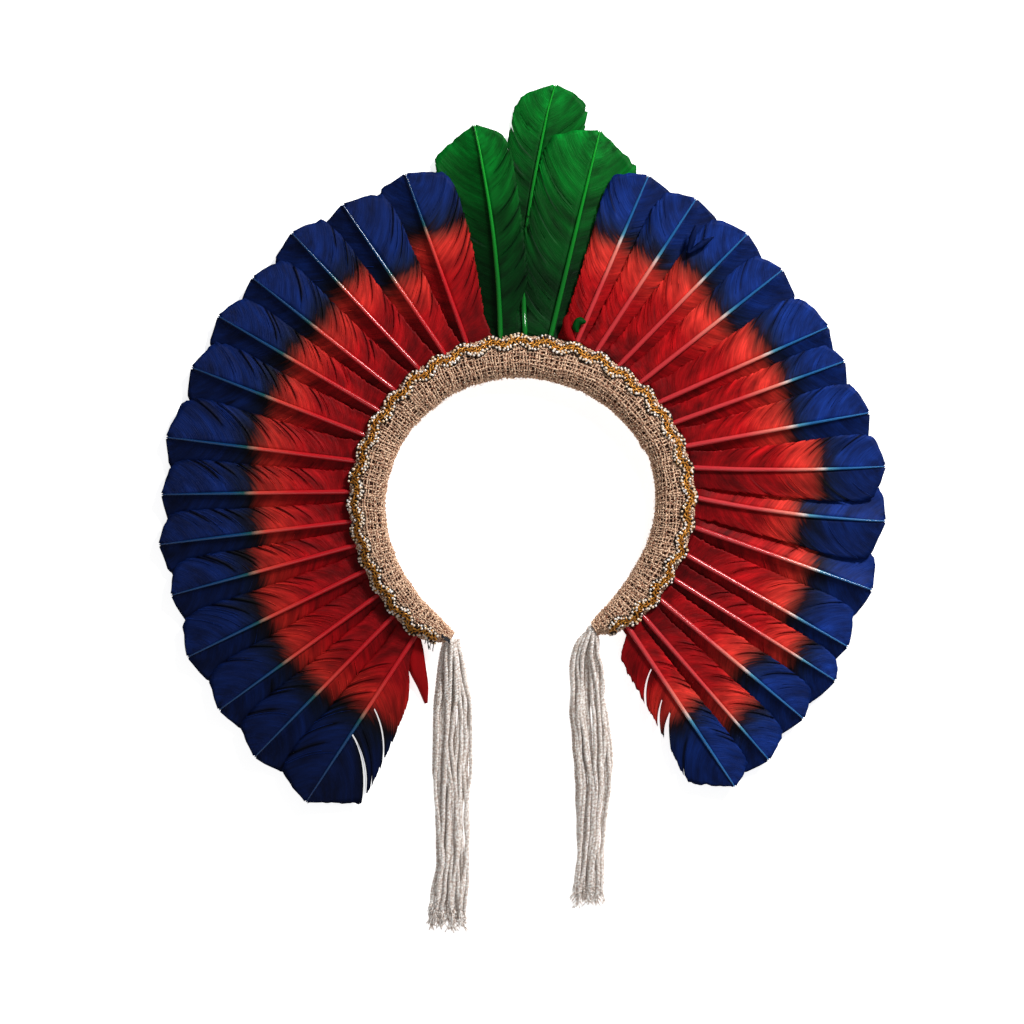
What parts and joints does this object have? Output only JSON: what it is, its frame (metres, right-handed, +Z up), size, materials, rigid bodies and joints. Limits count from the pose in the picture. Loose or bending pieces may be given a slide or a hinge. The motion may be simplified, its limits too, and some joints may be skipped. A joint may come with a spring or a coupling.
{
  "type": "feathered headdress",
  "caption": "Horseshoe feather headdress lying flat: padded burlap band with a beaded braid, a shingled fan of dyed feathers and a cotton cord tassel at each end.",
  "frame": {"origin": "on the surface it lies on, under the middle of its bounds", "axes": "+Z up, +Y from the tassels towards the tall green feathers of the crest, +X to the right seen from above"},
  "size_m": [0.4856, 0.5646, 0.0221],
  "materials": {
    "burlap": "coarse light tan jute weave with dark brown gaps, matt",
    "bead_trim": "champagne and silver seed beads on a gold thread braid, shiny",
    "red_feather": "dyed goose feather, red turning to dark blue at the tip, satin barbs",
    "green_feather": "dyed goose feather, green all over, satin barbs",
    "cotton_cord": "off-white twisted cotton cord, matt",
    "dark_thread": "dark sewing thread, matt"
  },
  "bodies": {
    "root": {"band": "burlap", "bead_trim": "bead_trim", "feather_left_01": "red_feather", "feather_left_02": "red_feather", "feather_left_03": "red_feather", "feather_left_04": "red_feather", "feather_left_05": "red_feather", "feather_left_06": "red_feather", "feather_left_07": "red_feather", "feather_left_08": "red_feather", "feather_left_09": "red_feather", "feather_left_10": "red_feather", "feather_left_11": "red_feather", "feather_left_12": "red_feather", "feather_left_13": "red_feather", "feather_left_14": "red_feather", "feather_green_01": "green_feather", "feather_green_02": "green_feather", "feather_green_03": "green_feather", "feather_right_01": "red_feather", "feather_right_02": "red_feather", "feather_right_03": "red_feather", "feather_right_04": "red_feather", "feather_right_05": "red_feather", "feather_right_06": "red_feather", "feather_right_07": "red_feather", "feather_right_08": "red_feather", "feather_right_09": "red_feather", "feather_right_10": "red_feather", "feather_right_11": "red_feather", "feather_right_12": "red_feather", "feather_right_13": "red_feather", "feather_right_14": "red_feather", "feather_right_15": "red_feather", "tassel_left": "cotton_cord", "tassel_right": "cotton_cord"}
  },
  "joints": []
}
